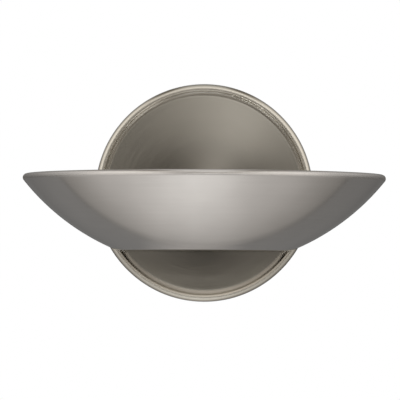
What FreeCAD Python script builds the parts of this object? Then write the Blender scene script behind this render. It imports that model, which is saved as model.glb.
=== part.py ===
import FreeCAD, Part
import math
import os

# Uplighter wall sconce. Millimetres.
# X runs to the right, Y into the wall and Z up. The wall is the plane Y = 0, and the
# origin is the centre of the back plate on the wall, so the light stands in negative Y.

V = FreeCAD.Vector

# ---- Fits and clearances ----
hole_clearance = 0.15       # radius of a screw hole over its screw
thread_clearance = 0.04     # radius of a threaded hole over its screw
lead_clearance = 0.05       # radius of a bush or barrel over its lead
running_clearance = 0.06    # radius of a bore over the plunger that slides in it
wall_clearance = 0.2        # least distance of a screw's end from the wall

# ---- Back plate: a pressed pan with a raised bead ----
plate_radius = 90.0
plate_sheet = 1.0
plate_room = 1.5            # front of the terminal block to the back of the plate
bead_corner_radius = 3.5    # outside edge of the bead
bead_inner_radius = 2.5     # inside edge of the bead
bead_foot_radius = 4.5      # hollow fillet down to the flat face
face_recess = 4.0           # top of the bead to the flat face

# ---- Bowl: half of a spun spherical dish ----
bowl_radius = 150.0
bowl_floor_radius = 71.25   # flat part of the bottom
bowl_sheet = 1.0
rim_roll_radius = 3.3
rim_lip = 3.0               # flat lip that follows the roll inwards
rim_height = 15.2           # top of the rim above the centre of the plate
bowl_height = 63.2
bowl_foot_radius = 1.5      # edge between the flat bottom and the dish
bowl_gap = 0.2              # rear edge of the bowl to the bead

# ---- Wall bracket ----
bracket_sheet = 1.5
bracket_height = 20.0
bracket_bend = 2.25
hub_radius = 20.0
cable_hole_radius = 10.0
wall_screw_spacing = 60.3
wall_slot_width = 4.6
wall_slot_length = 12.0
plate_screw_spacing = 104.0
foot_length = 11.0          # pad at each end that the plate is screwed to
joggle_run = 3.5            # sideways run of the crank between strap and pad
tab_rise = 6.0              # tab above the terminal block
tab_margin = 2.0            # tab beside the terminal block and the earth terminal
tab_corner_radius = 2.5

# ---- Screws and nuts, as diameters of the thread ----
plate_thread = 4.0
frame_thread = 4.0
shelf_thread = 4.0
stud_thread = 4.0
holder_thread = 3.0
block_thread = 3.0
clamp_thread = 3.0
earth_thread = 4.0
screw_spare = 1.6           # length of thread that stands past a nut
holder_screw_spare = 0.8
head_radius_share = 0.95    # of the thread, as the next five are
head_height_share = 0.62
socket_radius_share = 0.32
tip_chamfer_share = 0.1
nut_height_share = 0.8
nut_corner_share = 1.01
crown_share = 0.45          # rounding of a head, of the head's height
socket_depth_share = 0.6    # of the head's height

# ---- Terminal block ----
block_wall = 3.1            # plastic beside each terminal tube
block_height = 18.0
block_depth = 12.0
block_bottom = 20.0         # height of its lower end above the centre
block_end_wall = 1.5        # plastic past each end of a terminal tube
pole_spacing = 13.0
tube_radius = 2.4
clamp_spacing = 8.0
clamp_well_radius = 1.9     # screwdriver well over each clamp screw
clamp_sink = 1.0            # face of the block to the end of a clamp screw
clamp_slot_depth = 1.0
clamp_slot_width = 0.6
block_edge_radius = 1.2
waist_notch = 1.0           # half width of the notches between the poles

# ---- Leads ----
lead_radius = 1.2
lead_in_tube = 5.0          # length of lead held in the terminal tube
lead_run_in = 11.5          # straight approach to a lampholder
lead_rise = 18.0            # terminal block to the top of the leads' bend
lead_shoulder = 42.0        # end of the leads' level stretch, from the middle
lead_depth = 5.5            # wall to the leads' level stretch
lead_drop_depth = 3.0       # wall to the leads behind their grommets
lead_drop = 22.0            # start of the last drop above a grommet
lead_reach = 11.0           # plate's face to the bend in front of it
earth_lead_bends = [(-54.0, -5.5, 16.0), (-55.0, -8.0, -6.0), (-49.0, -11.0, -24.0)]
grommet_gap = 1.0           # bracket's foot to the flange
grommet_rise = 16.0         # lamp frame's base to the grommet
grommet_hole_radius = 3.5
grommet_flange_radius = 5.0
grommet_flange = 1.2

# ---- Earth ring terminals ----
earth_gap = 4.0             # terminal block to the ring
ring_radius = 4.0
ring_sheet = 0.8
barrel_wall = 0.65
barrel_length = 6.0
barrel_neck = 1.5           # ring to the barrel
neck_half_width = 1.5
earth_run_in = 16.8         # straight start of the earth lead at each end

# ---- Lamp: double-ended linear halogen ----
lamp_length = 117.6
lamp_reach = 44.0           # flat face of the plate to the lamp's axis
lamp_radius = 5.0
lamp_glass = 1.0
lamp_end_rounding = 3.0
lamp_travel = 1.75          # end play against the sprung contacts, each way
cap_neck = 2.8              # round part of the tube to the cap
pinch_in_cap = 4.2
pinch_thickness = 2.4
pinch_height = 7.0
cap_radius = 3.9
cap_length = 10.0
cap_recess = 1.7
recess_room = 0.6           # radius of the recess over the plunger's tip
contact_thickness = 1.0
filament_radius = 0.9
filament_tail_radius = 0.35
filament_tail = 5.0

# ---- Lampholders ----
cradle_depth = 10.0         # length of lamp end that the open cradle covers
cradle_room = 1.6           # radius of the cradle over the cap
cradle_spare = 1.45         # lamp's end to the floor of the cradle at full travel
mouth_thickness = 1.0
chamber_length = 10.0
holder_cover = 2.0
holder_depth = 16.0         # along Y
holder_top = 10.0           # top of the body above the lamp's axis
holder_height = 24.0
holder_edge_radius = 1.5
holder_screw_drop = 10.0    # fixing screw below the lamp's axis
tip_radius = 1.8
tip_rounding = 0.9
tip_gap = 0.1               # lamp's contact to the plunger's tip at rest
plunger_radius = 2.5
plunger_head = 1.5
plunger_spare = 0.25        # plunger's shoulder to the mouth at full travel
terminal_plug = 2.4
spring_wire = 0.5
spring_radius = 2.0
spring_turns = 4
spring_closing = 0.35       # share by which the end turns are closer than the mean
spring_points_per_turn = 12

# ---- Lamp frame ----
frame_sheet = 1.2
frame_bend = 2.0
frame_base_height = 12.0
frame_arm_height = 22.0
frame_gap = 6.0             # bowl shelf's flange to the frame
frame_foot = 58.0           # part of the base that lies on the plate, each side
frame_crank_run = 5.0       # sideways run of the crank that lifts the base over the bead
frame_clearance = 0.8       # bead to the cranked ends of the base
arm_overhang = 4.0          # arm past the front of the lampholder

# ---- Reflector ----
reflector_sheet = 0.5
reflector_gap = 6.0         # end of the reflector to a lampholder
reflector_rise = 16.0       # top of its back wall above the lamp's axis
reflector_drop = 20.0       # floor below the lamp's axis
reflector_floor_reach = 46.0
reflector_lip_rise = 16.0
reflector_lip_reach = 20.0
reflector_bend = 7.5
reflector_screw_margin = 6.0

# ---- Bowl shelf ----
shelf_sheet = 1.5
shelf_bend = 2.25
shelf_width = 60.0
shelf_flange_height = 17.0
shelf_margin = 13.0         # front corners of the shelf to the edge of the bowl's flat floor
shelf_screw_spacing = 36.0
shelf_screw_drop = 6.0      # screws below the top of the flange
stud_spacing = 40.0
stud_margin = 20.0          # studs to the front of the shelf
stud_length = 10.0
stud_slot_length = 10.0
stud_slot_clearance = 0.3
knurled_radius = 5.0
knurled_height = 4.5
knurled_chamfer = 0.45
collar_radius = 4.0
collar_height = 1.6

# ---- Derived places, from the wall forwards ----
plate_depth = bracket_sheet + block_depth + plate_room + plate_sheet + face_recess
face_y = -(plate_depth - face_recess)           # front of the plate's flat face
back_y = face_y + plate_sheet                   # rear of the plate's flat face
bowl_y = -(plate_depth + bowl_gap)              # rear edges of the bowl
foot_x = plate_screw_spacing / 2
block_y = -bracket_sheet                        # rear of the terminal block
block_front = block_y - block_depth
pole_y = block_y - block_depth / 2
block_width = pole_spacing + 2 * (tube_radius + block_wall)
block_top = block_bottom + block_height
block_middle = block_bottom + block_height / 2
tube_bottom = block_bottom + block_end_wall
tube_top = block_top - block_end_wall
barrel_radius = lead_radius + lead_clearance + barrel_wall
earth_x = -(block_width / 2 + earth_gap + ring_radius)

# ---- Derived places, from the bowl's floor up ----
floor_z = rim_height - bowl_height + bowl_sheet  # inside floor of the bowl
shelf_top = floor_z + shelf_sheet
shelf_flange_top = floor_z + shelf_flange_height
shelf_screw_x = shelf_screw_spacing / 2
shelf_screw_z = shelf_flange_top - shelf_screw_drop
shelf_front = bowl_y - math.sqrt((bowl_floor_radius - shelf_margin) ** 2 - (shelf_width / 2) ** 2)
stud_x = stud_spacing / 2
stud_y = shelf_front + stud_margin
frame_bottom = shelf_flange_top + frame_gap
frame_screw_z = frame_bottom + frame_base_height / 2
grommet_x = foot_x + foot_length / 2 + grommet_gap + grommet_flange_radius
grommet_z = frame_bottom + frame_base_height + grommet_rise

# ---- Derived places, from the middle of the lamp outwards ----
lamp_y = face_y - lamp_reach
lamp_z = frame_bottom + holder_height - holder_top
lamp_end = lamp_length / 2
cap_start = lamp_end - cap_length
glass_end = cap_start - cap_neck                # end of the tube's round part
pinch_end = cap_start + pinch_in_cap
hollow_end = glass_end - lamp_end_rounding
contact_face = lamp_end - cap_recess
recess_radius = tip_radius + recess_room
cradle_radius = cap_radius + cradle_room
cradle_floor = lamp_end + lamp_travel + cradle_spare
holder_inner = cradle_floor - cradle_depth
holder_bottom = lamp_z + holder_top - holder_height
holder_back = lamp_y + holder_depth / 2
holder_front = lamp_y - holder_depth / 2
holder_screw_z = lamp_z - holder_screw_drop
chamber_radius = plunger_radius + running_clearance
chamber_start = cradle_floor + mouth_thickness
chamber_end = chamber_start + chamber_length
shoulder = chamber_start + lamp_travel + plunger_spare
plunger_back = shoulder + plunger_head
plug_start = chamber_end - terminal_plug
plug_middle = chamber_end - terminal_plug / 2
arm_inner = chamber_end + holder_cover
arm_outer = arm_inner + frame_sheet
reflector_front = face_y - frame_sheet - reflector_sheet    # front of its back wall
reflector_width = 2 * (holder_inner - reflector_gap)
frame_screw_x = reflector_width / 2 - reflector_screw_margin


# ---- General shapes ----
def box(x0, x1, y0, y1, z0, z1):
    """Box between two corners."""
    return Part.makeBox(x1 - x0, y1 - y0, z1 - z0, V(x0, y0, z0))


def rod(start, end, radius):
    """Cylinder from one point to another."""
    along = end - start
    return Part.makeCylinder(radius, along.Length, start, along)


def mirrored(shape):
    """Copy of a shape on the other side of the middle plane."""
    return shape.mirror(V(0, 0, 0), V(1, 0, 0))


def both_sides(shape):
    """A shape on the right and its mirror image on the left."""
    return Part.makeCompound([shape, mirrored(shape)])


def save(name, shape):
    """Write one piece, or one group of equal pieces, to its file."""
    shape.exportStep("parts/" + name + ".step")


def cut_all(shape, tools):
    """A shape less each tool in turn."""
    for tool in tools:
        shape = shape.cut(tool)
    return shape


def fuse_all(shapes):
    """One solid from shapes that meet."""
    whole = shapes[0]
    for shape in shapes[1:]:
        whole = whole.fuse(shape)
    return whole.removeSplitter()


def rounded_corner(before, corner, after, radius):
    """First, middle and last point of an arc that rounds a corner, and its centre."""
    back = (before - corner).normalize()
    ahead = (after - corner).normalize()
    half_turn = (math.pi - back.getAngle(ahead)) / 2
    reach = radius * math.tan(half_turn)
    bisector = (back + ahead).normalize()
    centre = corner + bisector * (radius / math.cos(half_turn))
    return corner + back * reach, centre - bisector * radius, corner + ahead * reach, centre


def rounded_path(points, radii):
    """Wire through straight runs, with each inner corner rounded by its own radius."""
    edges = []
    start = points[0]
    for i, radius in enumerate(radii):
        first, middle, last = rounded_corner(points[i], points[i + 1], points[i + 2], radius)[:3]
        edges.append(Part.LineSegment(start, first).toShape())
        edges.append(Part.Arc(first, middle, last).toShape())
        start = last
    edges.append(Part.LineSegment(start, points[-1]).toShape())
    return Part.Wire(edges)


def folded_sheet(points, thickness, bend, direction):
    """Folded sheet: its middle line runs through points, rounded at each fold."""
    normal = V(direction).normalize()
    sides = ([], [])
    start = points[0]
    for i in range(1, len(points) - 1):
        first, middle, last, centre = rounded_corner(points[i - 1], points[i], points[i + 1], bend)
        for side, edges in zip((-1, 1), sides):
            shift = normal.cross(first - start).normalize() * (side * thickness / 2)
            edges.append(Part.LineSegment(start + shift, first + shift).toShape())
            from_centre = [(p - centre).normalize() for p in (first, middle, last)]
            inward = shift.dot(centre - first) > 0
            radius = bend - thickness / 2 if inward else bend + thickness / 2
            arc = [centre + d * radius for d in from_centre]
            edges.append(Part.Arc(arc[0], arc[1], arc[2]).toShape())
        start = last
    for side, edges in zip((-1, 1), sides):
        shift = normal.cross(points[-1] - start).normalize() * (side * thickness / 2)
        edges.append(Part.LineSegment(start + shift, points[-1] + shift).toShape())
    caps = []
    for edge_index, vertex_index in ((0, 0), (-1, -1)):
        ends = [edges[edge_index].Vertexes[vertex_index].Point for edges in sides]
        caps.append(Part.LineSegment(ends[0], ends[1]).toShape())
    outline = Part.Wire(Part.__sortEdges__(sides[0] + sides[1] + caps))
    return Part.Face(outline).extrude(direction)


def outline_face(steps):
    """Face bounded by lines and arcs. Each step is the next point, or an arc's middle and end."""
    edges = []
    here = steps[0][0]
    for step in steps[1:]:
        if len(step) == 2:
            edges.append(Part.Arc(here, step[0], step[1]).toShape())
        else:
            edges.append(Part.LineSegment(here, step[0]).toShape())
        here = step[-1]
    edges.append(Part.LineSegment(here, steps[0][0]).toShape())
    return Part.Face(Part.Wire(edges))


def edges_along(shape, axis):
    """Straight edges of a shape that run along an axis."""
    return [e for e in shape.Edges if e.tangentAt(e.FirstParameter).cross(axis).Length < 0.1]


def round_edges(shape, beyond, direction):
    """Closed edges of a shape whose middle lies past a point, seen along a direction."""
    return [e for e in shape.Edges if e.Closed and (e.CenterOfMass - beyond).dot(direction) > 0]


def toward(centre, point, radius):
    """Point of a circle in the direction of another point."""
    return centre + (point - centre).normalize() * radius


def between(centre, a, b, radius):
    """Middle of the arc of a circle between the directions of two points."""
    middle = (a - centre).normalize() + (b - centre).normalize()
    return centre + middle.normalize() * radius


# ---- Fasteners ----
def head_radius(thread):
    return thread * head_radius_share


def head_height(thread):
    return thread * head_height_share


def nut_height(thread):
    return thread * nut_height_share


def pan_screw(seat, direction, thread, length):
    """Pan-head screw. The underside of its head is at seat and its shank runs along direction."""
    along = V(direction).normalize()
    height = head_height(thread)
    top = seat - along * height
    head = rod(seat, top, head_radius(thread))
    head = head.makeFillet(height * crown_share, round_edges(head, seat - along * (height / 2), -along))
    socket = rod(top, top + along * (height * socket_depth_share), thread * socket_radius_share)
    shank = rod(seat, seat + along * length, thread / 2)
    tip = round_edges(shank, seat + along * (length / 2), along)
    shank = shank.makeChamfer(thread * tip_chamfer_share, tip)
    return head.cut(socket).fuse(shank).removeSplitter()


def hex_nut(seat, direction, thread):
    """Hexagon nut that seats on a face and stands up along direction."""
    along = V(direction).normalize()
    corner = thread * nut_corner_share
    sideways = V(0, 0, 1) if abs(along.z) < 0.5 else V(1, 0, 0)
    points = []
    for i in range(6):
        turn = FreeCAD.Rotation(along, 60.0 * i)
        points.append(seat + turn.multVec(sideways * corner))
    up = along * nut_height(thread)
    body = Part.Face(Part.makePolygon(points + points[:1])).extrude(up)
    return body.cut(rod(seat, seat + up, thread / 2 + thread_clearance))


# ---- Back plate ----
def pan_outline(offset):
    """Points of the pan's profile, offset inwards by a wall thickness, from wall to centre."""
    corner = V(plate_radius - bead_corner_radius, -plate_depth + bead_corner_radius, 0)
    crest = V(corner.x, -plate_depth + bead_inner_radius, 0)
    fall = bead_inner_radius + bead_foot_radius
    across = math.sqrt(fall**2 - (fall - face_recess) ** 2)
    foot = V(crest.x - across, face_y - bead_foot_radius, 0)
    corner_r = bead_corner_radius - offset
    crest_r = bead_inner_radius - offset
    foot_r = bead_foot_radius + offset
    change = toward(crest, foot, crest_r)
    top = V(corner.x, -plate_depth + offset, 0)
    side = V(corner.x + corner_r, corner.y, 0)
    floor = V(foot.x, face_y + offset, 0)
    return [
        [V(side.x, 0, 0)],
        [side],
        [between(corner, side, top, corner_r), top],
        [between(crest, top, change, crest_r), change],
        [between(foot, change, floor, foot_r), floor],
        [V(0, floor.y, 0)],
    ]


def reversed_steps(steps):
    """The same outline run the other way."""
    points = [step[-1] for step in steps]
    middles = [step[0] if len(step) == 2 else None for step in steps]
    back = [[points[-1]]]
    for i in range(len(steps) - 1, 0, -1):
        if middles[i] is None:
            back.append([points[i - 1]])
        else:
            back.append([middles[i], points[i - 1]])
    return back


def make_backplate():
    """Pan turned about Y, with the holes that the bowl hides."""
    profile = outline_face(pan_outline(0) + reversed_steps(pan_outline(plate_sheet)))
    pan = profile.revolve(V(0, 0, 0), V(0, 1, 0), 360)
    places = [
        (foot_x, 0, plate_thread / 2 + hole_clearance),
        (grommet_x, grommet_z, grommet_hole_radius),
        (frame_screw_x, frame_screw_z, frame_thread / 2 + hole_clearance),
        (shelf_screw_x, shelf_screw_z, shelf_thread / 2 + hole_clearance),
    ]
    holes = []
    for x, z, radius in places:
        for side in (-1, 1):
            holes.append(rod(V(side * x, face_y, z), V(side * x, back_y, z), radius))
    return cut_all(pan, holes)


# ---- Bowl ----
def dish_centre(roll, foot):
    """Centre, on the axis, of the sphere that touches the rim's roll and the foot's edge."""
    rise = roll.y - foot.y
    change = rim_roll_radius - bowl_foot_radius
    spread = roll.x**2 - foot.x**2 + rise**2 - change**2
    lead = rise**2 - change**2
    root = (rise * spread) ** 2 - lead * (spread**2 - 4 * change**2 * foot.x**2)
    return V(0, foot.y + (rise * spread + math.sqrt(root)) / (2 * lead), 0)


def bowl_outline(offset):
    """Points of the dish's profile, offset inwards by a wall thickness, from axis to lip."""
    roll = V(bowl_radius - rim_roll_radius, rim_height - rim_roll_radius, 0)
    foot = V(bowl_floor_radius, rim_height - bowl_height + bowl_foot_radius, 0)
    sphere = dish_centre(roll, foot)
    sphere_r = sphere.distanceToPoint(foot) + bowl_foot_radius - offset
    roll_r = rim_roll_radius - offset
    foot_r = bowl_foot_radius - offset
    underside = V(foot.x, foot.y - foot_r, 0)
    leave_foot = toward(sphere, foot, sphere_r)
    reach_roll = toward(sphere, roll, sphere_r)
    top = V(roll.x, rim_height - offset, 0)
    widest = V(roll.x + roll_r, roll.y, 0)
    return [
        [V(0, underside.y, 0)],
        [underside],
        [between(foot, underside, leave_foot, foot_r), leave_foot],
        [between(sphere, leave_foot, reach_roll, sphere_r), reach_roll],
        [widest, top],
        [V(roll.x - rim_lip, top.y, 0)],
    ]


def make_bowl():
    """Half turn of the dish's profile about an upright axis in the plane of its rear edges."""
    profile = outline_face(bowl_outline(0) + reversed_steps(bowl_outline(bowl_sheet)))
    profile.rotate(V(0, 0, 0), V(1, 0, 0), 90)
    profile.translate(V(0, bowl_y, 0))
    return profile.revolve(V(0, bowl_y, 0), V(0, 0, 1), -180)


# ---- Wall bracket ----
def make_wall_bracket():
    """Cranked strap with a round hub, two wall slots, threaded feet and a tab for the block."""
    wall_line = -bracket_sheet / 2
    foot_line = back_y + bracket_sheet / 2
    foot_start = foot_x - foot_length / 2
    half = [
        V(foot_start - joggle_run, wall_line, -bracket_height / 2),
        V(foot_start, foot_line, -bracket_height / 2),
        V(foot_x + foot_length / 2, foot_line, -bracket_height / 2),
    ]
    path = [V(-p.x, p.y, p.z) for p in reversed(half)] + half
    strap = folded_sheet(path, bracket_sheet, bracket_bend, V(0, 0, bracket_height))
    hub = rod(V(0, -bracket_sheet, 0), V(0, 0, 0), hub_radius)
    tab_left = earth_x - ring_radius - tab_margin
    tab_right = block_width / 2 + tab_margin
    tab_top = block_top + tab_rise
    tab = box(tab_left, tab_right, -bracket_sheet, 0, 0, tab_top)
    corners = [e for e in edges_along(tab, V(0, 1, 0)) if e.CenterOfMass.z > tab_top / 2]
    tab = tab.makeFillet(tab_corner_radius, corners)
    bracket = fuse_all([strap, hub, tab])
    tools = [rod(V(0, -bracket_sheet, 0), V(0, 0, 0), cable_hole_radius)]
    slot_r = wall_slot_width / 2
    straight = wall_slot_length / 2 - slot_r
    for side in (-1, 1):
        x = side * wall_screw_spacing / 2
        for end in (-straight, straight):
            tools.append(rod(V(x + end, -bracket_sheet, 0), V(x + end, 0, 0), slot_r))
        tools.append(box(x - straight, x + straight, -bracket_sheet, 0, -slot_r, slot_r))
        foot = V(side * foot_x, back_y, 0)
        tools.append(rod(foot, foot + V(0, bracket_sheet, 0), plate_thread / 2 + thread_clearance))
    for x, thread in ((0, block_thread), (earth_x, earth_thread)):
        front = V(x, -bracket_sheet, block_middle)
        tools.append(rod(front, front + V(0, bracket_sheet, 0), thread / 2 + thread_clearance))
    return cut_all(bracket, tools)


# ---- Terminal block ----
def pole_places():
    return [-pole_spacing / 2, pole_spacing / 2]


def clamp_places():
    return [block_middle - clamp_spacing / 2, block_middle + clamp_spacing / 2]


def make_terminal_block():
    """Moulded two-pole block: tube channels, entries, screw wells and a centre fixing hole."""
    body = box(-block_width / 2, block_width / 2, block_front, block_y, block_bottom, block_top)
    front_edges = [e for e in edges_along(body, V(0, 0, 1)) if e.CenterOfMass.y < pole_y]
    body = body.makeFillet(block_edge_radius, front_edges)
    tools = []
    for x in pole_places():
        tools.append(rod(V(x, pole_y, tube_bottom), V(x, pole_y, tube_top), tube_radius))
        entry = lead_radius + hole_clearance
        tools.append(rod(V(x, pole_y, block_bottom), V(x, pole_y, block_top), entry))
        for z in clamp_places():
            tools.append(rod(V(x, pole_y, z), V(x, block_front, z), clamp_well_radius))
    front = V(0, block_front, block_middle)
    hole = block_thread / 2 + hole_clearance
    tools.append(rod(V(0, block_y, block_middle), front, hole))
    well = head_radius(block_thread) + hole_clearance
    tools.append(rod(V(0, pole_y, block_middle), front, well))
    # a waist between the poles, as in a strip that can be cut apart
    for z, up in ((block_bottom, 1), (block_top, -1)):
        left = V(-waist_notch, block_front, z)
        right = V(waist_notch, block_front, z)
        point = V(0, block_front, z + up * 2 * waist_notch)
        wedge = Part.Face(Part.makePolygon([left, right, point, left]))
        tools.append(wedge.extrude(V(0, block_depth, 0)))
    return cut_all(body, tools)


def make_terminal_tubes():
    """Brass tubes with a bore for the lead and two threaded clamp holes each."""
    tubes = []
    for x in pole_places():
        low = V(x, pole_y, tube_bottom)
        high = V(x, pole_y, tube_top)
        tube = rod(low, high, tube_radius).cut(rod(low, high, lead_radius + lead_clearance))
        for z in clamp_places():
            middle = V(x, pole_y, z)
            hole = clamp_thread / 2 + thread_clearance
            tube = tube.cut(rod(middle, middle - V(0, tube_radius, 0), hole))
        tubes.append(tube)
    return Part.makeCompound(tubes)


def make_clamp_screws():
    """Slotted grub screws: the upper ones press on the leads, the lower ones wait for the supply."""
    screws = []
    tip_y = pole_y - lead_radius - lead_clearance - thread_clearance
    outer_y = block_front + clamp_sink
    slot_y = outer_y + clamp_slot_depth
    half = clamp_slot_width / 2
    for x in pole_places():
        for z in clamp_places():
            screw = rod(V(x, outer_y, z), V(x, tip_y, z), clamp_thread / 2)
            slot = box(x - clamp_thread, x + clamp_thread, outer_y, slot_y, z - half, z + half)
            screws.append(screw.cut(slot))
    return Part.makeCompound(screws)


def make_block_screw():
    seat = V(0, pole_y, block_middle)
    return pan_screw(seat, V(0, 1, 0), block_thread, -seat.y - wall_clearance)


# ---- Earth ----
def ring_terminal(seat, outward, way):
    """Flat ring on a face at seat, with a crimp barrel that leaves along way."""
    ring = rod(seat, seat + outward * ring_sheet, ring_radius)
    side = outward.cross(way) * neck_half_width
    neck = way * (ring_radius + barrel_neck)
    ahead = neck + way * ring_sheet
    strap = Part.makePolygon([seat + side, seat + side + ahead, seat - side + ahead, seat - side, seat + side])
    start = seat + outward * barrel_radius + neck
    end = start + way * barrel_length
    neck_plate = Part.Face(strap).extrude(outward * ring_sheet)
    whole = fuse_all([ring, neck_plate, rod(start, end, barrel_radius)])
    hole = rod(seat, seat + outward * ring_sheet, earth_thread / 2 + hole_clearance)
    return cut_all(whole, [rod(start, end, lead_radius + lead_clearance), hole])


def barrel_points(seat, outward, way):
    """Where a lead starts inside a ring terminal's barrel, and a point straight ahead of it."""
    start = seat + outward * barrel_radius + way * (ring_radius + barrel_neck + ring_sheet)
    return start, start + way * earth_run_in


bracket_ring = (V(earth_x, -bracket_sheet, block_middle), V(0, -1, 0), V(-1, 0, 0))
plate_ring = (V(-shelf_screw_x, back_y, shelf_screw_z), V(0, 1, 0), V(-1, 0, 0))


def make_earth_screw():
    seat = V(earth_x, -bracket_sheet - ring_sheet, block_middle)
    return pan_screw(seat, V(0, 1, 0), earth_thread, -seat.y - wall_clearance)


def make_ring_terminals():
    return Part.makeCompound([ring_terminal(*bracket_ring), ring_terminal(*plate_ring)])


# ---- Leads ----
def bend_radii(points):
    """Radius of each bend: 0.45 of the shorter run beside it, over the tangent of half the turn."""
    radii = []
    for i in range(1, len(points) - 1):
        before = points[i] - points[i - 1]
        after = points[i + 1] - points[i]
        half_turn = before.getAngle(after) / 2
        radii.append(0.45 * min(before.Length, after.Length) / math.tan(half_turn))
    return radii


def make_lead(name, points):
    """Round lead along straight runs joined by tangent arcs."""
    radii = bend_radii(points)
    path = rounded_path(points, radii)
    along = path.Edges[0].tangentAt(path.Edges[0].FirstParameter)
    section = Part.Wire(Part.makeCircle(lead_radius, points[0], along))
    lead = path.makePipeShell([section], True, False)
    ratio = lead.Volume / (math.pi * lead_radius**2 * path.Length)
    print(name, "length", round(path.Length, 1), "volume ratio", round(ratio, 4))
    print("  bends", [round(r, 1) for r in radii])
    return lead


def lampholder_route(side):
    """Route from a terminal tube over the bracket, through its grommet and into a lampholder."""
    return [
        V(side * pole_spacing / 2, pole_y, tube_top - lead_in_tube),
        V(side * pole_spacing / 2, pole_y, block_top + lead_rise),
        V(side * lead_shoulder, -lead_depth, block_top + lead_rise),
        V(side * grommet_x, -lead_drop_depth, grommet_z + lead_drop),
        V(side * grommet_x, -lead_drop_depth, grommet_z),
        V(side * grommet_x, face_y - lead_reach, grommet_z),
        V(side * plug_middle, holder_back + lead_run_in, lamp_z),
        V(side * plug_middle, lamp_y + chamber_radius + lead_clearance, lamp_z),
    ]


def earth_route():
    """Route from the bracket's earth screw round the strap's foot to the plate."""
    start, ahead = barrel_points(*bracket_ring)
    end, before_end = barrel_points(*plate_ring)
    return [start, ahead] + [V(*bend) for bend in earth_lead_bends] + [before_end, end]


def make_grommets():
    """Silicone bushes: two flanges, a neck in the plate's hole and a bore for the lead."""
    front = V(grommet_x, face_y, grommet_z)
    back = V(grommet_x, back_y, grommet_z)
    out = V(0, grommet_flange, 0)
    whole = fuse_all([
        rod(front, back, grommet_hole_radius),
        rod(front - out, front, grommet_flange_radius),
        rod(back, back + out, grommet_flange_radius),
    ])
    return both_sides(whole.cut(rod(front - out, back + out, lead_radius + lead_clearance)))


# ---- Lamp frame ----
def make_lamp_frame():
    """U folded from strip: base on the plate, cranked over its bead, and an arm outside each holder."""
    arm = arm_inner + frame_sheet / 2
    raised = -plate_depth - frame_clearance - frame_sheet / 2
    half = [
        V(frame_foot, face_y - frame_sheet / 2, frame_bottom),
        V(frame_foot + frame_crank_run, raised, frame_bottom),
        V(arm, raised, frame_bottom),
        V(arm, holder_front - arm_overhang, frame_bottom),
    ]
    path = [V(-p.x, p.y, p.z) for p in reversed(half)] + half
    frame = folded_sheet(path, frame_sheet, frame_bend, V(0, 0, frame_arm_height))
    inner = grommet_x + grommet_flange_radius + hole_clearance
    base_top = frame_bottom + frame_base_height
    frame_top = frame_bottom + frame_arm_height
    tools = [box(-inner, inner, raised - frame_sheet, face_y, base_top, frame_top)]
    for side in (-1, 1):
        back = V(side * frame_screw_x, face_y, frame_screw_z)
        tools.append(rod(back, back - V(0, frame_sheet, 0), frame_thread / 2 + hole_clearance))
        inside = V(side * arm_inner, lamp_y, holder_screw_z)
        outside = V(side * arm_outer, lamp_y, holder_screw_z)
        tools.append(rod(inside, outside, holder_thread / 2 + hole_clearance))
    return cut_all(frame, tools)


def make_frame_screws():
    """Screws that clamp reflector, frame and plate together."""
    seat = V(frame_screw_x, reflector_front, frame_screw_z)
    length = back_y + nut_height(frame_thread) + screw_spare - reflector_front
    return both_sides(pan_screw(seat, V(0, 1, 0), frame_thread, length))


def make_frame_nuts():
    return both_sides(hex_nut(V(frame_screw_x, back_y, frame_screw_z), V(0, 1, 0), frame_thread))


def make_plate_screws():
    seat = V(foot_x, face_y, 0)
    length = plate_sheet + bracket_sheet + screw_spare
    return both_sides(pan_screw(seat, V(0, 1, 0), plate_thread, length))


# ---- Reflector ----
def make_reflector():
    """Folded trough: back wall on the frame, floor under the lamp and a raised front lip."""
    wall = reflector_front + reflector_sheet / 2
    left = -reflector_width / 2
    floor = lamp_z - reflector_drop
    floor_end = wall - reflector_floor_reach
    path = [
        V(left, wall, lamp_z + reflector_rise),
        V(left, wall, floor),
        V(left, floor_end, floor),
        V(left, floor_end - reflector_lip_reach, floor + reflector_lip_rise),
    ]
    trough = folded_sheet(path, reflector_sheet, reflector_bend, V(reflector_width, 0, 0))
    tools = []
    for side in (-1, 1):
        front = V(side * frame_screw_x, reflector_front, frame_screw_z)
        tools.append(rod(front, front + V(0, reflector_sheet, 0), frame_thread / 2 + hole_clearance))
    return cut_all(trough, tools)


# ---- Lampholders ----
def on_axis(x):
    """Point of the lamp's axis."""
    return V(x, lamp_y, lamp_z)


def holder_block(start, end):
    """Block with the lampholder's section and rounded long edges, between two places on X."""
    block = box(start, end, holder_front, holder_back, holder_bottom, holder_bottom + holder_height)
    block = block.makeFillet(holder_edge_radius, edges_along(block, V(1, 0, 0)))
    screw_start = V(start, lamp_y, holder_screw_z)
    screw_end = V(end, lamp_y, holder_screw_z)
    return block.cut(rod(screw_start, screw_end, holder_thread / 2 + hole_clearance))


def make_lampholder():
    """Ceramic body of the right-hand holder: open cradle, mouth, spring chamber and lead hole."""
    body = holder_block(holder_inner, chamber_end)
    back = lamp_y + cradle_radius
    front = lamp_y - cradle_radius
    plug = on_axis(plug_middle)
    tools = [
        rod(on_axis(holder_inner), on_axis(cradle_floor), cradle_radius),
        box(holder_inner, cradle_floor, front, back, lamp_z, lamp_z + holder_top),
        rod(on_axis(cradle_floor), on_axis(chamber_start), tip_radius + running_clearance),
        rod(on_axis(chamber_start), on_axis(chamber_end), chamber_radius),
        rod(plug, plug + V(0, holder_depth / 2, 0), lead_radius + lead_clearance),
    ]
    return cut_all(body, tools)


def make_lampholder_covers():
    """Ceramic plates that close the spring chambers against the frame's arms."""
    return both_sides(holder_block(chamber_end, arm_inner))


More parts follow.
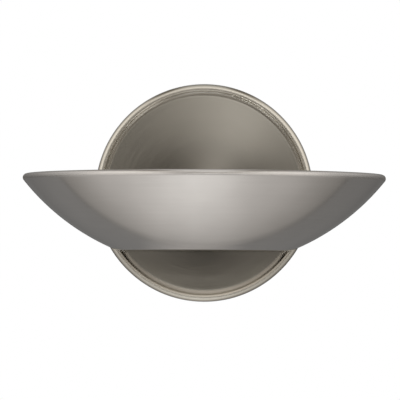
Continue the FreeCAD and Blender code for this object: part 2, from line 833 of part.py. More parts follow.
def make_lampholder_screws():
    length = arm_outer - holder_inner + nut_height(holder_thread) + holder_screw_spare
    seat = V(arm_outer, lamp_y, holder_screw_z)
    return both_sides(pan_screw(seat, V(-1, 0, 0), holder_thread, length))


def make_lampholder_nuts():
    return both_sides(hex_nut(V(holder_inner, lamp_y, holder_screw_z), V(-1, 0, 0), holder_thread))


def make_contact_terminals():
    """Brass plugs at the closed end of each chamber: spring seat and end of the lead."""
    return both_sides(rod(on_axis(plug_start), on_axis(chamber_end), chamber_radius))


def make_plunger():
    """Right-hand contact: a domed tip that reaches into the lamp's cap, and a wider sliding head."""
    face = contact_face + tip_gap
    tip = rod(on_axis(face), on_axis(shoulder), tip_radius)
    tip = tip.makeFillet(tip_rounding, round_edges(tip, on_axis((face + shoulder) / 2), V(-1, 0, 0)))
    return tip.fuse(rod(on_axis(shoulder), on_axis(plunger_back), plunger_radius)).removeSplitter()


def make_spring():
    """Right-hand contact spring between the plunger's back and the brass plug.

    A round wire along a helix whose turns lie closer at both ends.
    """
    start = plunger_back + spring_wire / 2
    length = plug_start - spring_wire / 2 - start
    count = spring_turns * spring_points_per_turn
    points = []
    for i in range(count + 1):
        turn = 2 * math.pi * spring_turns * i / count
        whole = 2 * math.pi * i / count
        along = length * (i / count - spring_closing * math.sin(whole) / (2 * math.pi))
        around = V(0, spring_radius * math.sin(turn), spring_radius * math.cos(turn))
        points.append(on_axis(start + along) + around)
    helix = Part.BSplineCurve()
    helix.interpolate(points)
    section = Part.Wire(Part.makeCircle(spring_wire / 2, points[0], helix.tangent(0)[0]))
    return Part.Wire([helix.toShape()]).makePipeShell([section], True, True)


# ---- Lamp ----
def pinch_box(start, end):
    """Flat pinched end of the tube between two places on X."""
    y = pinch_thickness / 2
    z = pinch_height / 2
    return box(start, end, lamp_y - y, lamp_y + y, lamp_z - z, lamp_z + z)


def make_lamp_tube():
    """Quartz tube with rounded ends, a pinched flat at each end and a sealed hollow."""
    tube = rod(on_axis(-glass_end), on_axis(glass_end), lamp_radius)
    tube = tube.makeFillet(lamp_end_rounding, [e for e in tube.Edges if e.Closed])
    tube = tube.cut(rod(on_axis(-hollow_end), on_axis(hollow_end), lamp_radius - lamp_glass))
    pinch = pinch_box(glass_end - lamp_end_rounding / 2, pinch_end)
    return fuse_all([tube, pinch, mirrored(pinch)])


def make_lamp_caps():
    """Ceramic end caps with a slot for the pinch and a recess for the contact."""
    cap = rod(on_axis(cap_start), on_axis(lamp_end), cap_radius)
    recess = rod(on_axis(contact_face - contact_thickness), on_axis(lamp_end), recess_radius)
    return both_sides(cut_all(cap, [pinch_box(cap_start, pinch_end), recess]))


def make_lamp_contacts():
    return both_sides(rod(on_axis(contact_face - contact_thickness), on_axis(contact_face), recess_radius))


def make_filament():
    """The coiled coil's envelope as a fine tube, with a straight tail to each pinch."""
    coil_end = hollow_end - filament_tail
    coil = rod(on_axis(-coil_end), on_axis(coil_end), filament_radius)
    tail = rod(on_axis(coil_end), on_axis(hollow_end), filament_tail_radius)
    return fuse_all([coil, tail, mirrored(tail)])


# ---- Bowl shelf ----
def make_shelf_bracket():
    """Folded bracket: flange on the plate, shelf over the bowl's floor with two slots."""
    wall = face_y - shelf_sheet / 2
    level = floor_z + shelf_sheet / 2
    left = -shelf_width / 2
    path = [V(left, wall, shelf_flange_top), V(left, wall, level), V(left, shelf_front, level)]
    bracket = folded_sheet(path, shelf_sheet, shelf_bend, V(shelf_width, 0, 0))
    slot_r = stud_thread / 2 + stud_slot_clearance
    straight = stud_slot_length / 2 - slot_r
    tools = []
    for side in (-1, 1):
        x = side * stud_x
        for y in (stud_y - straight, stud_y + straight):
            tools.append(rod(V(x, y, floor_z), V(x, y, shelf_top), slot_r))
        tools.append(box(x - slot_r, x + slot_r, stud_y - straight, stud_y + straight, floor_z, shelf_top))
        front = V(side * shelf_screw_x, face_y - shelf_sheet, shelf_screw_z)
        tools.append(rod(front, front + V(0, shelf_sheet, 0), shelf_thread / 2 + hole_clearance))
    return cut_all(bracket, tools)


def make_shelf_screws():
    seat = V(shelf_screw_x, face_y - shelf_sheet, shelf_screw_z)
    length = shelf_sheet + plate_sheet + ring_sheet + nut_height(shelf_thread) + screw_spare
    return both_sides(pan_screw(seat, V(0, 1, 0), shelf_thread, length))


def make_shelf_nuts():
    """The left nut sits on the earth terminal's ring, the right one on the plate."""
    left = hex_nut(V(-shelf_screw_x, back_y + ring_sheet, shelf_screw_z), V(0, 1, 0), shelf_thread)
    right = hex_nut(V(shelf_screw_x, back_y, shelf_screw_z), V(0, 1, 0), shelf_thread)
    return Part.makeCompound([left, right])


def make_bowl_studs():
    """Studs welded upright to the bowl's floor, which pass through the shelf's slots."""
    foot = V(stud_x, stud_y, floor_z)
    stud = rod(foot, foot + V(0, 0, stud_length), stud_thread / 2)
    tip = round_edges(stud, foot + V(0, 0, stud_length / 2), V(0, 0, 1))
    return both_sides(stud.makeChamfer(stud_thread * tip_chamfer_share, tip))


def make_bowl_nuts():
    """Knurled nuts with a collar, turned down onto the shelf by hand."""
    seat = V(stud_x, stud_y, shelf_top)
    step = seat + V(0, 0, collar_height)
    top = seat + V(0, 0, knurled_height)
    grip = rod(step, top, knurled_radius)
    grip = grip.makeChamfer(knurled_chamfer, round_edges(grip, (step + top) / 2, V(0, 0, 1)))
    nut = fuse_all([rod(seat, step, collar_radius), grip])
    return both_sides(nut.cut(rod(seat, top, stud_thread / 2 + thread_clearance)))


# ---- The whole light ----
os.makedirs("parts", exist_ok=True)

save("backplate", make_backplate())
save("bowl_shade", make_bowl())

save("wall_bracket", make_wall_bracket())
save("plate_fixing_screws", make_plate_screws())
save("terminal_block", make_terminal_block())
save("terminal_tubes", make_terminal_tubes())
save("terminal_clamp_screws", make_clamp_screws())
save("terminal_block_screw", make_block_screw())
save("earth_screw", make_earth_screw())
save("earth_ring_terminals", make_ring_terminals())
save("earth_lead", make_lead("earth_lead", earth_route()))
save("live_lead", make_lead("live_lead", lampholder_route(1)))
save("neutral_lead", make_lead("neutral_lead", lampholder_route(-1)))
save("lead_grommets", make_grommets())

save("lamp_frame", make_lamp_frame())
save("frame_screws", make_frame_screws())
save("frame_nuts", make_frame_nuts())
save("reflector", make_reflector())

holder = make_lampholder()
save("lampholder_right", holder)
save("lampholder_left", mirrored(holder))
save("lampholder_covers", make_lampholder_covers())
save("lampholder_screws", make_lampholder_screws())
save("lampholder_nuts", make_lampholder_nuts())
save("contact_terminals", make_contact_terminals())

plunger = make_plunger()
save("contact_plunger_right", plunger)
save("contact_plunger_left", mirrored(plunger))
spring = make_spring()
save("contact_spring_right", spring)
save("contact_spring_left", mirrored(spring))

save("lamp_tube", make_lamp_tube())
save("lamp_caps", make_lamp_caps())
save("lamp_contacts", make_lamp_contacts())
save("lamp_filament", make_filament())

save("shelf_bracket", make_shelf_bracket())
save("shelf_screws", make_shelf_screws())
save("shelf_nuts", make_shelf_nuts())
save("bowl_studs", make_bowl_studs())
save("bowl_nuts", make_bowl_nuts())
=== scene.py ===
import math

import bmesh
import bpy
import numpy as np
from mathutils import Euler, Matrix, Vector


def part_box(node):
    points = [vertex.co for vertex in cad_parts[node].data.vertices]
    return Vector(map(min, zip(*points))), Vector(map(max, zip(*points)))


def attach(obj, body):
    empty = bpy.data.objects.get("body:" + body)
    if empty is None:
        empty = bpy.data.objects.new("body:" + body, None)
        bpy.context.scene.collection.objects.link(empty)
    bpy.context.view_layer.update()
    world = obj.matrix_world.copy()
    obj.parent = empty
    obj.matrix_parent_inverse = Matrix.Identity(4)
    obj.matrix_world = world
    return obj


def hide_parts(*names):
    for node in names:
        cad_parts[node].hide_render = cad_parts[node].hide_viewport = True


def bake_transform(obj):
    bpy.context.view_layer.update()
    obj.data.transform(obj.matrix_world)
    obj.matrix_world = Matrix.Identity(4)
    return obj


# Uplighter wall sconce. Metres. X runs right, Y into the wall and Z up, from the plate's centre.
# Every CAD solid gets a finish by its record slot. The bowl, the back plate, the screws, nuts and
# studs, the contact springs and the filament are made again from formulas, finer than the solids.

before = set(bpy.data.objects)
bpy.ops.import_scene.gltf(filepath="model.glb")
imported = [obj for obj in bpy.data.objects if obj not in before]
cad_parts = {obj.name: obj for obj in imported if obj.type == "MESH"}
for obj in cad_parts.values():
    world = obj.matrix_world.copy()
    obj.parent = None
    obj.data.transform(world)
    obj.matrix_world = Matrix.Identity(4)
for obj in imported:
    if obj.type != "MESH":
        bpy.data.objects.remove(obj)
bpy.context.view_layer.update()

MM = 0.001
TURN = 2 * math.pi
SIXTH = TURN / 6
SAME_POINT = 1e-7       # points nearer than this are one
SHARP = 35.0            # degrees between two faces past which their edge stays sharp
FASTENER_SHARP = 28.0   # the same on screws, nuts and studs


# ---------------------------------------------------------------- surfaces from formulas
def arc(centre, radius, start, end, count):
    """Points centre + radius * (cos a, sin a), with a from start to end in degrees."""
    a = np.radians(np.linspace(start, end, count))
    return np.stack([centre[0] + radius * np.cos(a), centre[1] + radius * np.sin(a)], 1)


def run(start, end, count):
    """Points start + (end - start) * t, with t from 0 to 1."""
    t = np.linspace(0, 1, count)[:, None]
    return np.asarray(start) + (np.asarray(end) - np.asarray(start)) * t


def joined(*stretches):
    """Stretches of an outline one after the other, each without its first point but the first."""
    return np.concatenate([stretches[0]] + [s[1:] for s in stretches[1:]])


def grid_faces(rows, columns, wrap_rows=False, wrap_columns=False):
    """Quads (i, j), (i + 1, j), (i + 1, j + 1), (i, j + 1) over a grid whose points go row by row."""
    i = np.arange(rows if wrap_rows else rows - 1)[:, None]
    j = np.arange(columns if wrap_columns else columns - 1)[None, :]
    next_i = (i + 1) % rows
    next_j = (j + 1) % columns
    quads = [i * columns + j, next_i * columns + j, next_i * columns + next_j, i * columns + next_j]
    return np.stack(quads, -1).reshape(-1, 4)


def piece(name, points, faces, sharp=SHARP):
    """Mesh object whose doubles are merged, normals turned outwards and edges past an angle kept sharp."""
    mesh = bpy.data.meshes.new(name)
    mesh.from_pydata(np.asarray(points).reshape(-1, 3).tolist(), [], np.asarray(faces).tolist())
    work = bmesh.new()
    work.from_mesh(mesh)
    bmesh.ops.remove_doubles(work, verts=work.verts, dist=SAME_POINT)
    bmesh.ops.dissolve_degenerate(work, edges=work.edges, dist=SAME_POINT)
    bmesh.ops.recalc_face_normals(work, faces=work.faces)
    work.to_mesh(mesh)
    work.free()
    mesh.shade_smooth()
    mesh.set_sharp_from_angle(angle=math.radians(sharp))
    made = bpy.data.objects.new(name, mesh)
    bpy.context.scene.collection.objects.link(made)
    return made


def angles(columns):
    """Angle of each column of a grid that closes on itself."""
    return np.linspace(0, TURN, columns, endpoint=False)


def hexagon(flat, columns):
    """Radius = flat / cos(a folded to within 30 degrees of zero), with flat half the width over flats."""
    return flat / np.cos(np.mod(angles(columns) + SIXTH / 2, SIXTH) - SIXTH / 2)


def round_part(seat, direction, columns, *blocks, wrap_rows=False):
    """Grid seat + height * d + radius * (p * cos a + q * sin a), with d the direction and p, q square to it.

    Each block is (radius, height) for one row or more, and spreads over the columns."""
    grids = [np.broadcast_arrays(r, h, np.zeros((1, columns)))[:2] for r, h in blocks]
    radius = np.concatenate([g[0] for g in grids])[..., None]
    height = np.concatenate([g[1] for g in grids])[..., None]
    direction = np.asarray(direction, float)
    p = np.cross(direction, (0, 0, 1) if abs(direction[2]) < 0.5 else (1, 0, 0))
    q = np.cross(direction, p)
    a = angles(columns)[:, None]
    points = np.asarray(seat) + height * direction + radius * (p * np.cos(a) + q * np.sin(a))
    return points.reshape(-1, 3), grid_faces(len(radius), columns, wrap_rows, True)


def wire(path, side, radius, sides):
    """Round wire along a path: path + radius * (s * cos a + t x s * sin a), t along it and s square to it.

    Its ends close at the path's own end points."""
    along = np.gradient(path, axis=0)
    along /= np.linalg.norm(along, axis=1)[:, None]
    side = side - along * (side * along).sum(1)[:, None]
    side /= np.linalg.norm(side, axis=1)[:, None]
    a = angles(sides)[None, :, None]
    points = path[:, None] + radius * (side[:, None] * np.cos(a) + np.cross(along, side)[:, None] * np.sin(a))
    ends = [np.repeat(path[i, None, None], sides, 1) for i in (0, -1)]
    points = np.concatenate([ends[0], points, ends[1]])
    return points.reshape(-1, 3), grid_faces(len(points), sides, wrap_columns=True)


def together(parts):
    """Points and faces of several grids as one list of each."""
    starts = np.cumsum([0] + [len(points) for points, _ in parts[:-1]])
    return np.concatenate([p for p, _ in parts]), np.concatenate([f + n for (_, f), n in zip(parts, starts)])


# ---------------------------------------------------------------- finishes
def tone(grey):
    """Grey that is warmer the darker it is."""
    return (grey, grey * (0.97 + 0.03 * grey), grey * (0.93 + 0.07 * grey))


def shade(colour, by):
    """Colour made darker or lighter by a factor."""
    return tuple(c * by for c in colour) + (1,)


class Value:
    """One output of a finish's nodes. Arithmetic on it adds Math nodes."""

    def __init__(self, finish, socket):
        self.finish = finish
        self.socket = socket

    def math(self, operation, *others):
        return self.finish.node("Math", {"operation": operation}, dict(enumerate([self, *others])))

    def __add__(self, other):
        return self.math("ADD", other)

    def __sub__(self, other):
        return self.math("SUBTRACT", other)

    def __rsub__(self, other):
        return self.finish.node("Math", {"operation": "SUBTRACT"}, {0: other, 1: self})

    def __mul__(self, other):
        return self.math("MULTIPLY", other)

    def __truediv__(self, other):
        return self.math("DIVIDE", other)

    def __rtruediv__(self, other):
        return self.finish.node("Math", {"operation": "DIVIDE"}, {0: other, 1: self})

    __radd__ = __add__
    __rmul__ = __mul__


class Finish:
    """A material's node tree. node() adds any node: its type, its settings, then its sockets."""

    def __init__(self, name, tree=None):
        if tree is None:
            self.material = bpy.data.materials.new(name)
            self.material.use_nodes = True
            tree = self.material.node_tree
        self.tree = tree

    def node(self, kind, settings=None, sockets=None, output=0):
        made = self.tree.nodes.new("ShaderNode" + kind)
        for key, value in (settings or {}).items():
            if key == "stops":
                ramp = made.color_ramp
                while len(ramp.elements) < len(value):
                    ramp.elements.new(0.5)
                for element, (place, colour) in zip(ramp.elements, value):
                    element.position = place
                    element.color = (*colour, 1) if hasattr(colour, "__len__") else (colour,) * 3 + (1,)
            else:
                setattr(made, key, value)
        for key, value in (sockets or {}).items():
            if isinstance(value, Value):
                self.tree.links.new(value.socket, made.inputs[key])
            else:
                made.inputs[key].default_value = value
        return Value(self, made.outputs[output])

    def principled(self, **sockets):
        """Sets sockets of the material's own shader, by name with underscores for spaces."""
        shader = next(n for n in self.tree.nodes if n.type == "BSDF_PRINCIPLED")
        for key, value in sockets.items():
            socket = shader.inputs[key.replace("_", " ")]
            if isinstance(value, Value):
                self.tree.links.new(value.socket, socket)
            else:
                socket.default_value = value

    def surface(self, shader):
        """Makes this the shader that the material shows, and takes out the one it came with."""
        output = next(n for n in self.tree.nodes if n.type == "OUTPUT_MATERIAL")
        own = output.inputs[0].links[0].from_node
        self.tree.links.new(shader.socket, output.inputs[0])
        self.tree.nodes.remove(own)

    def metal(self, base, rough, bump):
        """The material, as a metal of this colour, roughness and relief."""
        self.principled(Base_Color=base, Metallic=1.0, Roughness=rough, Normal=bump)
        return self.material

    def place(self):
        """Object coordinates."""
        return self.node("TexCoord", output="Object")

    def part(self, vector, axis):
        """One part of a vector: 0 for x, 1 for y and 2 for z."""
        return self.node("SeparateXYZ", None, {0: vector}, output=axis)

    def vector(self, x, y, z):
        return self.node("CombineXYZ", None, {0: x, 1: y, 2: z})

    def vector_math(self, operation, *values, output=0):
        return self.node("VectorMath", {"operation": operation}, dict(enumerate(values)), output)

    def scaled(self, vector, by):
        return self.node("VectorMath", {"operation": "SCALE"}, {0: vector, "Scale": by})

    def noise(self, vector, scale, detail=2.0, roughness=0.5, dimensions="3D", w=0.0):
        sockets = {"Scale": scale, "Detail": detail, "Roughness": roughness}
        if dimensions != "1D":
            sockets["Vector"] = vector
        if dimensions != "3D":
            sockets["W"] = w
        return self.node("TexNoise", {"noise_dimensions": dimensions}, sockets)

    def grain(self, place, stretch, detail=3.0):
        """Noise with its own scale along each axis."""
        return self.noise(self.vector_math("MULTIPLY", place, stretch), 1.0, detail, 0.6)

    def bump(self, height, strength, distance):
        return self.node("Bump", None, {"Strength": strength, "Distance": distance, "Height": height})

    def ramp(self, value, *stops):
        return self.node("ValToRGB", {"stops": stops}, {0: value})

    def curve(self, value, *points):
        """Grey that follows a value through (value, grey) points, warmer where it is darker."""
        low, high = points[0][0], points[-1][0]
        top = max(grey for _, grey in points)
        stops = [((at - low) / (high - low), tone(grey / top)) for at, grey in points]
        ramp = self.ramp(self.spread(value, low, high, 0.0, 1.0), *stops)
        return self.times(ramp, (top, top, top, 1))

    def between(self, factor, a, b):
        """Colour mixed from a to b by a factor."""
        return self.node("Mix", {"data_type": "RGBA"}, {0: factor, 6: a, 7: b}, output=2)

    def times(self, a, b):
        """Product of two colours."""
        settings = {"data_type": "RGBA", "blend_type": "MULTIPLY"}
        return self.node("Mix", settings, {0: 1.0, 6: a, 7: b}, output=2)

    def spread(self, value, low, high, out_low, out_high):
        """Value moved from one range to another, without going past the second."""
        return self.node("MapRange", None, {0: value, 1: low, 2: high, 3: out_low, 4: out_high})


def turned_satin(name, axis, centre, colour, lean, roughness, painted_light_by_radius, rim):
    """Satin metal brushed round an axis.

    The hair-fine grooves throw light to both sides of them: half of it by the normal N + M * lean, half
    by N - M * lean, where M is the direction across the grooves in the surface. Coarser streaks, long
    round the axis and thin across, tilt both a little and change the metal's brightness. The colour is
    made brighter or darker at some distances from the axis by painted light and shade, listed as (distance,
    brightness) pairs. rim gives the two distances between which it grows duller, how many times rougher it
    ends, and how far its grooves lean there.
    """
    streaks_across, streaks_round, streak_tilt = 600.0, 2.0, 0.012
    rim_starts, rim_ends, rim_rougher, rim_lean = rim
    finish = Finish(name)
    place = finish.place()
    from_centre = finish.vector_math("SUBTRACT", place, centre)
    along_axis = finish.vector_math("DOT_PRODUCT", from_centre, axis, output=1)
    flat = finish.vector_math("SUBTRACT", from_centre, finish.scaled(axis, along_axis))
    radius = finish.vector_math("LENGTH", flat, output=1)
    outward = finish.vector_math("NORMALIZE", flat)
    around = finish.vector_math("CROSS_PRODUCT", axis, outward)
    normal = finish.node("NewGeometry", output="Normal")
    across = finish.vector_math("CROSS_PRODUCT", around, normal)
    up_axis = finish.scaled(axis, along_axis * streaks_across)
    wide = finish.vector_math("ADD", finish.scaled(outward, streaks_round), up_axis)
    streak = finish.noise(wide, 1.0, 3.0, 0.6, "4D", radius * streaks_across)
    patch = finish.noise(place, 22.0, 2.0)
    rough = finish.spread(streak, 0.3, 0.7, roughness * 0.9, roughness * 1.12)
    rough = rough * finish.spread(radius, rim_starts, rim_ends, 1.0, rim_rougher)
    light = finish.spread(patch, 0.35, 0.65, 0.0, 1.0)
    base = finish.between(light, shade(colour, 0.97), shade(colour, 1.02))
    # Painted light and shade: the colour is made brighter or darker by distance from the axis.
    base = finish.times(base, finish.curve(radius, *painted_light_by_radius))
    base = finish.times(base, finish.ramp(streak, (0.3, 0.965), (0.7, 1.0)))
    ripple = (streak - 0.5) * streak_tilt
    leans = finish.spread(radius, rim_starts, rim_ends, lean, rim_lean)
    shaders = []
    for way in (1.0, -1.0):
        leaning = finish.scaled(across, ripple + leans * way)
        leaning = finish.vector_math("NORMALIZE", finish.vector_math("ADD", normal, leaning))
        sockets = {"Base Color": base, "Metallic": 1.0, "Roughness": rough, "Normal": leaning}
        shaders.append(finish.node("BsdfPrincipled", None, sockets))
    finish.surface(finish.node("MixShader", None, {0: 0.5, 1: shaders[0], 2: shaders[1]}))
    return finish.material


def rolled_zinc():
    """Zinc-plated sheet: rolling lines along X, zinc crystals, and patches of blue and yellow cast."""
    finish = Finish("rolled_zinc")
    place = finish.place()
    lines = finish.grain(place, (50.0, 800.0, 800.0))
    crystals = finish.noise(place, 900.0, 3.0)
    cast = finish.noise(place, 45.0, 3.0)
    blue, grey, yellow = (0.55, 0.585, 0.63), (0.62, 0.625, 0.62), (0.65, 0.62, 0.54)
    base = finish.ramp(cast, (0.32, blue), (0.5, grey), (0.68, yellow))
    relief = lines * 0.6 + crystals * 0.4
    rough = finish.spread(relief, 0.35, 0.65, 0.30, 0.46)
    bump = finish.bump(relief, 0.25, 0.00015)
    return finish.metal(base, rough, bump)


def bright_zinc():
    """Zinc-plated screws and nuts: small dull spots on a bright blue-white metal."""
    finish = Finish("bright_zinc")
    place = finish.place()
    dull = finish.noise(place, 1400.0, 3.0)
    cast = finish.noise(place, 260.0, 1.0)
    base = finish.ramp(cast, (0.35, (0.60, 0.63, 0.67)), (0.65, (0.69, 0.68, 0.64)))
    rough = finish.spread(dull, 0.35, 0.7, 0.2, 0.38)
    bump = finish.bump(dull, 0.15, 0.0001)
    return finish.metal(base, rough, bump)


def turned(name, colour, dull_colour, along, roughness):
    """Metal turned in a lathe: fine rings square to its axis, and a duller film in patches."""
    finish = Finish(name)
    place = finish.place()
    rings = finish.noise(None, 9000.0, 2.0, 0.6, "1D", finish.part(place, along))
    film = finish.noise(place, 330.0, 4.0, 0.6)
    base = finish.between(finish.spread(film, 0.4, 0.7, 0.0, 1.0), colour, dull_colour)
    rough = finish.spread(rings * 0.5 + film * 0.5, 0.35, 0.65, roughness * 0.75, roughness * 1.3)
    bump = finish.bump(rings, 0.3, 0.00004)
    return finish.metal(base, rough, bump)


def tinned_copper():
    """Tinned copper with the copper showing a little where the tin is thin."""
    finish = Finish("tinned_copper_sheet")
    place = finish.place()
    thin = finish.noise(place, 420.0, 4.0, 0.65)
    tin, copper = (0.74, 0.73, 0.71, 1), (0.76, 0.46, 0.33, 1)
    base = finish.between(finish.spread(thin, 0.6, 0.72, 0.0, 0.7), tin, copper)
    rough = finish.spread(thin, 0.3, 0.7, 0.24, 0.4)
    bump = finish.bump(thin, 0.2, 0.0001)
    return finish.metal(base, rough, bump)


def drawn_wire():
    """Spring wire: blue-grey steel with scratches from the drawing die."""
    finish = Finish("drawn_spring_wire")
    place = finish.place()
    scratches = finish.noise(place, 5200.0, 4.0, 0.7)
    base = finish.ramp(scratches, (0.3, (0.36, 0.37, 0.40)), (0.7, (0.50, 0.49, 0.47)))
    rough = finish.spread(scratches, 0.3, 0.7, 0.2, 0.36)
    bump = finish.bump(scratches, 0.2, 0.00003)
    return finish.metal(base, rough, bump)


def stucco_aluminium():
    """Bright rolled aluminium with a pattern of small dimples that breaks up the lamp's image."""
    finish = Finish("stucco_aluminium")
    place = finish.place()
    settings = {"feature": "SMOOTH_F1"}
    sockets = {"Vector": place, "Scale": 330.0, "Smoothness": 0.6}
    dimples = finish.node("TexVoronoi", settings, sockets, output="Distance")
    haze = finish.noise(place, 70.0, 3.0)
    base = finish.ramp(haze, (0.35, (0.80, 0.81, 0.83)), (0.65, (0.87, 0.87, 0.87)))
    rough = finish.spread(haze, 0.3, 0.7, 0.12, 0.2)
    bump = finish.bump(dimples, 0.35, 0.0006)
    return finish.metal(base, rough, bump)


def fired_steatite():
    """Cream ceramic: a dry pressed surface with fine dark specks and a slight change of colour."""
    finish = Finish("fired_steatite")
    place = finish.place()
    cloud = finish.noise(place, 130.0, 3.0)
    grains = finish.noise(place, 2600.0, 3.0, 0.7)
    base = finish.ramp(cloud, (0.3, (0.76, 0.735, 0.67)), (0.7, (0.82, 0.80, 0.745)))
    speck = finish.spread(grains, 0.68, 0.74, 0.0, 0.45)
    base = finish.between(speck, base, (0.45, 0.40, 0.33, 1))
    rough = finish.spread(grains, 0.3, 0.7, 0.42, 0.58)
    finish.principled(Base_Color=base, Roughness=rough, Normal=finish.bump(grains, 0.2, 0.00012))
    return finish.material


def quartz():
    """Clear quartz tube with the faint waves of drawn glass."""
    finish = Finish("quartz_tube")
    place = finish.place()
    waves = finish.grain(place, (30.0, 260.0, 260.0), 1.0)
    haze = finish.spread(waves, 0.3, 0.7, 0.0, 0.03)
    finish.principled(
        Base_Color=(0.97, 0.98, 0.985, 1), Roughness=haze, IOR=1.46, Transmission_Weight=1.0,
        Normal=finish.bump(waves, 0.08, 0.0004),
    )
    return finish.material


def tungsten_wire():
    """Dark grey drawn tungsten."""
    finish = Finish("tungsten_wire")
    place = finish.place()
    grains = finish.noise(place, 6000.0, 2.0)
    base = finish.ramp(grains, (0.35, (0.27, 0.27, 0.28)), (0.65, (0.40, 0.39, 0.38)))
    finish.principled(Base_Color=base, Metallic=1.0, Roughness=finish.spread(grains, 0.3, 0.7, 0.3, 0.5))
    return finish.material


def moulded(name, colour, low, high, grain):
    """Moulded part: the mould's fine texture in its surface and a slight change of colour."""
    finish = Finish(name)
    place = finish.place()
    texture = finish.noise(place, grain, 2.0)
    cloud = finish.noise(place, 150.0, 2.0)
    cloudy = finish.spread(cloud, 0.35, 0.65, 0.0, 1.0)
    base = finish.between(cloudy, shade(colour, 0.93), shade(colour, 1.04))
    rough = finish.spread(texture, 0.3, 0.7, low, high)
    finish.principled(Base_Color=base, Roughness=rough, Normal=finish.bump(texture, 0.25, 0.00012))
    return finish.material


def braided_sleeve(name, colour, second=None):
    """Heat-proof sleeve of braided glass yarn, with painted shade in the gaps between the yarns. A second
    colour makes a stripe, as earth leads have.
    """
    finish = Finish(name)
    place = finish.place()
    sockets = {"Vector": place, "Scale": 1500.0, "Randomness": 0.55}
    yarn = finish.node("TexVoronoi", None, sockets, output="Distance")
    fibres = finish.noise(place, 7000.0, 2.0)
    base = (*colour, 1)
    if second:
        normal = finish.node("NewGeometry", output="Normal")
        facing = finish.vector_math("DOT_PRODUCT", normal, (0.62, 0.45, 0.64), output=1)
        base = finish.between(finish.spread(facing, 0.12, 0.2, 0.0, 1.0), base, (*second, 1))
    # Painted shade: the gaps between the yarns are darkened towards near black.
    gaps = finish.spread(yarn + fibres * 0.3, 0.25, 0.75, 0.0, 0.35)
    gap_shaded = finish.between(gaps, base, (0.10, 0.09, 0.08, 1))
    rough = finish.spread(fibres, 0.3, 0.7, 0.55, 0.75)
    finish.principled(Base_Color=gap_shaded, Roughness=rough, Normal=finish.bump(yarn, 0.6, 0.0004))
    return finish.material


# ---------------------------------------------------------------- bowl
BOWL_LOW, BOWL_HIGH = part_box("bowl_shade")
BOWL_R = (BOWL_HIGH.x - BOWL_LOW.x) / 2
BOWL_Y = BOWL_HIGH.y
BOWL_SHEET = 1.0 * MM
FLOOR_R = 71.25 * MM    # flat part of the bottom
ROLL_R = 3.3 * MM       # rolled rim
LIP = 3.0 * MM          # flat lip inside the roll
FOOT_R = 1.5 * MM       # edge between the flat bottom and the dish


def bowl_line(inset):
    """Dish profile (distance from the axis, height), moved inwards by inset, from axis to lip.

    The dish is an arc about a centre on the axis that meets the small arcs of its foot and its roll
    smoothly, so its distances to their centres differ by change. That gives a quadratic in its height."""
    roll = np.array([BOWL_R - ROLL_R, BOWL_HIGH.z - ROLL_R])
    foot = np.array([FLOOR_R, BOWL_LOW.z + FOOT_R])
    rise = roll[1] - foot[1]
    change = ROLL_R - FOOT_R
    spread = roll[0] ** 2 - foot[0] ** 2 + rise**2 - change**2
    lead = rise**2 - change**2
    root = (rise * spread) ** 2 - lead * (spread**2 - 4 * change**2 * foot[0] ** 2)
    centre = np.array([0, foot[1] + (rise * spread + math.sqrt(root)) / (2 * lead)])
    to_foot = math.degrees(math.atan2(foot[1] - centre[1], foot[0]))
    to_roll = math.degrees(math.atan2(roll[1] - centre[1], roll[0]))
    radius = np.hypot(*(foot - centre)) + FOOT_R - inset
    return joined(
        run((0, BOWL_LOW.z + inset), (FLOOR_R, BOWL_LOW.z + inset), 24),
        arc(foot, FOOT_R - inset, -90, to_foot, 8),
        arc(centre, radius, to_foot, to_roll, 90),
        arc(roll, ROLL_R - inset, to_roll, 90, 20),
        run((roll[0], BOWL_HIGH.z - inset), (roll[0] - LIP, BOWL_HIGH.z - inset), 6),
    )


def make_bowl():
    """Half turn of the sheet's profile: (x, y) = radius * (cos a, sin a), a from 180 to 360 degrees."""
    outside = bowl_line(0)
    inside = bowl_line(BOWL_SHEET)
    loop = np.concatenate([outside, inside[::-1]])
    a = np.radians(np.linspace(180, 360, 181))[:, None]     # one row to a degree
    x = loop[None, :, 0] * np.cos(a)
    y = BOWL_Y + loop[None, :, 0] * np.sin(a)
    z = np.broadcast_to(loop[None, :, 1], x.shape)
    points = np.stack([x, y, z], -1)
    count = loop.shape[0]
    half = outside.shape[0]
    faces = grid_faces(a.shape[0], count, wrap_columns=True)
    # The two cut faces at the wall are strips of quads from the outside to the inside.
    k = np.arange(half - 1)
    strip = np.stack([k, k + 1, count - 2 - k, count - 1 - k], 1)
    ends = np.concatenate([strip, strip[:, ::-1] + (a.shape[0] - 1) * count])
    return piece("bowl", points, np.concatenate([faces, ends]))


# ---------------------------------------------------------------- back plate
PLATE_LOW, PLATE_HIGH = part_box("backplate")
PLATE_R = PLATE_HIGH.x
PLATE_DEPTH = -PLATE_LOW.y
PLATE_SHEET = 1.0 * MM
FACE_RECESS = 4.0 * MM      # top of the bead to the flat face
BEAD_CORNER = 3.5 * MM      # radius of the bead's outside edge
BEAD_INNER = 2.5 * MM       # radius of its inside edge
BEAD_FOOT = 4.5 * MM        # radius of the hollow down to the face
SCREW_HOLE_R = 2.15 * MM
GROMMET_HOLE_R = 3.5 * MM
PLATE_HOLES = (                                     # (x, z, radius), and again at -x
    (52.0 * MM, 0.0, SCREW_HOLE_R),                 # plate_fixing_screws
    (63.5 * MM, 4.0 * MM, GROMMET_HOLE_R),          # lead_grommets
    (40.0 * MM, -18.0 * MM, SCREW_HOLE_R),          # frame_screws
    (18.0 * MM, -36.0 * MM, SCREW_HOLE_R),          # shelf_screws
)


